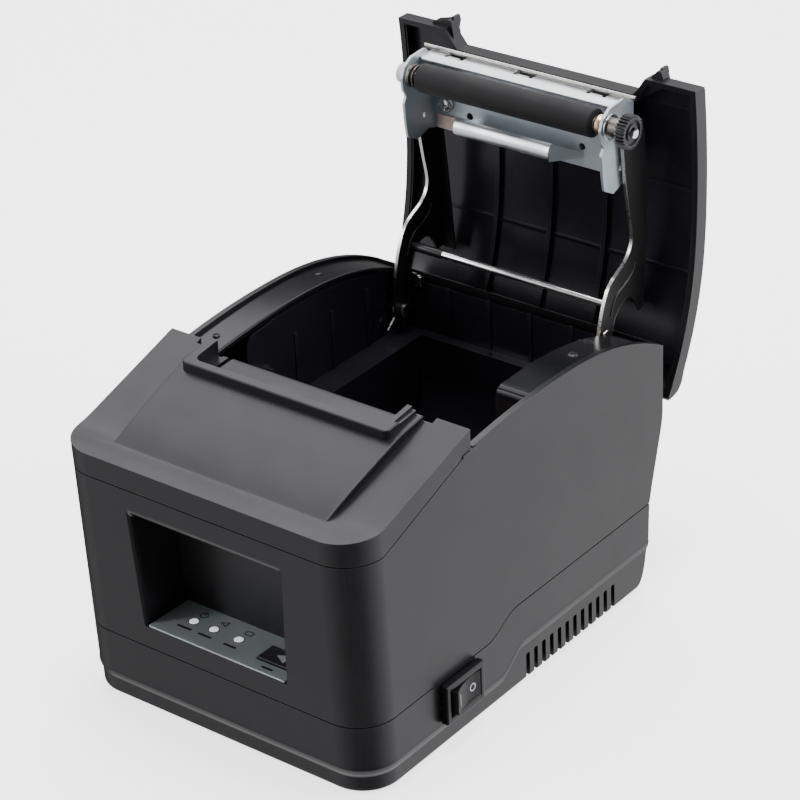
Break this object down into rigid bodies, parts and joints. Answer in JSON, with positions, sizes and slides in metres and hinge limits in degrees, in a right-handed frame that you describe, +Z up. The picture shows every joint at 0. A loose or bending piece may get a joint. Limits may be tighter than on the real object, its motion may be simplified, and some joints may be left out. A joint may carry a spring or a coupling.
{
  "type": "receipt printer",
  "caption": "Desktop thermal receipt printer for 80 mm paper: dark case, sloped front cover, control window, and a rear-hinged lid that carries the platen roller.",
  "frame": {"origin": "middle of the base pad on the ground, under the middle of the case's outline seen from above", "axes": "+X to the right seen from the front, the front faces -Y, +Z up"},
  "size_m": [0.1456, 0.223, 0.2043],
  "materials": {
    "case_plastic": "fine textured satin ABS, dark grey",
    "inner_plastic": "smooth black, slightly glossy",
    "zinc_steel": "zinc plated pressed sheet, bluish",
    "bright_steel": "bright turned or ground steel",
    "black_steel": "black coated pressed sheet with bright sheared edges",
    "platen_rubber": "ground matt rubber",
    "foot_rubber": "matt rubber",
    "gear_plastic": "moulded acetal, satin",
    "ivory_plastic": "moulded acetal bush, off-white",
    "bronze": "sintered bronze, satin",
    "panel_silver": "silver-grey printed film",
    "led_lens": "clear frosted lens",
    "button_grey": "satin dark grey",
    "circuit_board": "green solder mask",
    "connector_black": "smooth black moulding",
    "ceramic": "glazed ceramic print head",
    "aluminium": "die-cast or pressed shell",
    "motor_steel": "plated motor can"
  },
  "bodies": {
    "base": {"buzzer": "connector_black", "case_screw_1": "bright_steel", "case_screw_2": "bright_steel", "case_screw_3": "bright_steel", "case_screw_4": "bright_steel", "control_board": "circuit_board", "cutter_frame": "zinc_steel", "cutter_motor": "motor_steel", "drawer_jack": "connector_black", "front_cover": "case_plastic", "head_heatsink": "aluminium", "head_spring_1": "bright_steel", "head_spring_2": "bright_steel", "hinge_pin_left": "bright_steel", "hinge_pin_right": "bright_steel", "idler_pin": "bright_steel", "lower_case": "case_plastic", "main_board": "circuit_board", "mech_frame": "zinc_steel", "network_port": "aluminium", "panel_plate": "panel_silver", "paper_bucket": "inner_plastic", "paper_sensor": "connector_black", "power_socket": "connector_black", "pressure_plate": "zinc_steel", "print_head": "ceramic", "rubber_foot_1": "foot_rubber", "rubber_foot_2": "foot_rubber", "rubber_foot_3": "foot_rubber", "rubber_foot_4": "foot_rubber", "status_led_1": "led_lens", "status_led_2": "led_lens", "status_led_3": "led_lens", "stepper_motor": "motor_steel", "switch_body": "connector_black", "upper_housing": "case_plastic", "usb_port": "aluminium"},
    "lid": {"lid_shell": "case_plastic", "platen_bracket": "zinc_steel", "tear_bar": "bright_steel", "bracket_screw_left": "bright_steel", "bracket_screw_right": "bright_steel", "lid_arm_left": "black_steel", "lid_arm_right": "black_steel", "tie_rod": "bright_steel", "bush_left": "ivory_plastic", "bearing_right": "bronze"},
    "platen": {"platen_shaft": "bright_steel", "platen_roller": "platen_rubber", "platen_gear": "gear_plastic"},
    "idler": {"idler_gear": "gear_plastic"},
    "pinion": {"motor_pinion": "bronze"},
    "cutter": {"cutter_blade": "bright_steel"},
    "button": {"feed_button": "button_grey"},
    "rocker": {"power_rocker": "connector_black"}
  },
  "joints": [
    {"name": "lid_hinge", "type": "hinge", "parent": "base", "child": "lid", "pos_m": [0, 0.0858, 0.0892], "axis": [1, 0, 0], "range_deg": [0, 91]},
    {"name": "platen_spin", "type": "hinge", "parent": "lid", "child": "platen", "pos_m": [0, 0.0934, 0.1901], "axis": [1, 0, 0], "continuous": true},
    {"name": "idler_spin", "type": "hinge", "parent": "base", "child": "idler", "pos_m": [0.0534, -0.01522, 0.07782], "axis": [1, 0, 0], "continuous": true},
    {"name": "pinion_spin", "type": "hinge", "parent": "base", "child": "pinion", "pos_m": [0.0534, -0.02248, 0.06524], "axis": [1, 0, 0], "continuous": true},
    {"name": "cutter_slide", "type": "slide", "parent": "base", "child": "cutter", "axis": [0, 1, 0], "range_m": [0, 0.011]},
    {"name": "feed_press", "type": "slide", "parent": "base", "child": "button", "axis": [0, 0, -1], "range_m": [0, 0.0008], "stiffness_N_per_m": 900},
    {"name": "rocker_tilt", "type": "hinge", "parent": "base", "child": "rocker", "pos_m": [0.069, -0.0405, 0.0207], "axis": [0, 0, 1], "range_deg": [-14, 0]}
  ],
  "couplings": [
    {"joint": "idler_spin", "follows": "platen_spin", "ratio": -0.58333},
    {"joint": "pinion_spin", "follows": "platen_spin", "ratio": 1.75}
  ]
}
